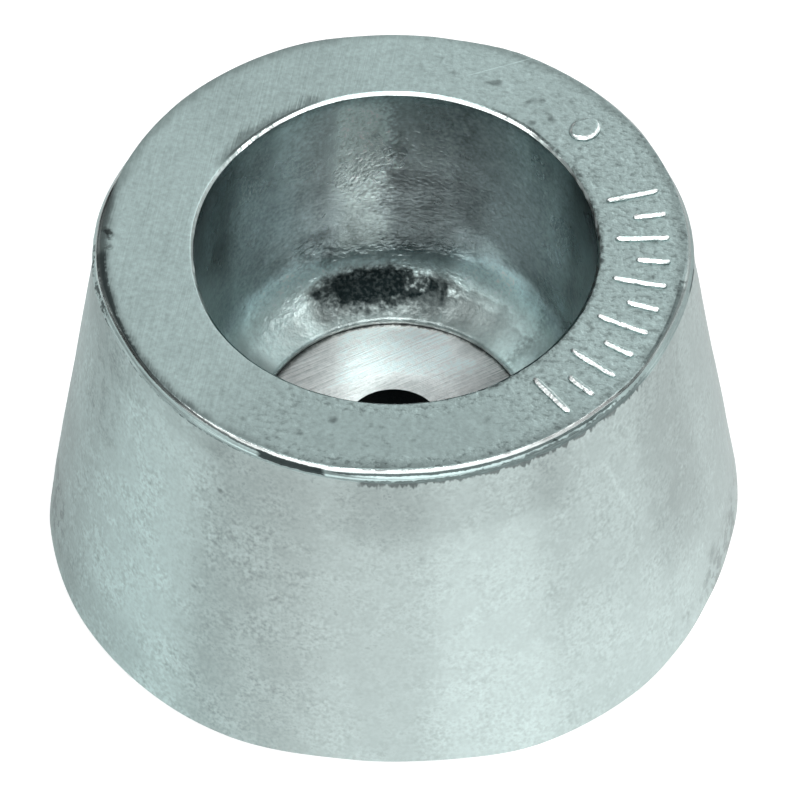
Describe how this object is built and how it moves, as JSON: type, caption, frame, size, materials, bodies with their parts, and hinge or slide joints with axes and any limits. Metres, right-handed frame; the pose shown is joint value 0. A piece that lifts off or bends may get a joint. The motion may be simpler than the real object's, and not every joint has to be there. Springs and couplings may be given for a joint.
{
  "type": "sacrificial anode",
  "caption": "Conical zinc anode with a deep round recess in its small end and a cast-in steel disc with a central screw hole at the recess's floor.",
  "frame": {"origin": "centre of the base, on the surface that the anode stands on", "axes": "+Z along the anode's axis, from the large end to the small end; +X and +Y are free, because the part is round"},
  "size_m": [0.0638, 0.0638, 0.034],
  "materials": {
    "cast_zinc": "as cast, satin grey, with a dressed rim",
    "insert_steel": "straight brushed"
  },
  "bodies": {
    "root": {"zinc_casting": "cast_zinc", "insert_disc": "insert_steel"}
  },
  "joints": []
}
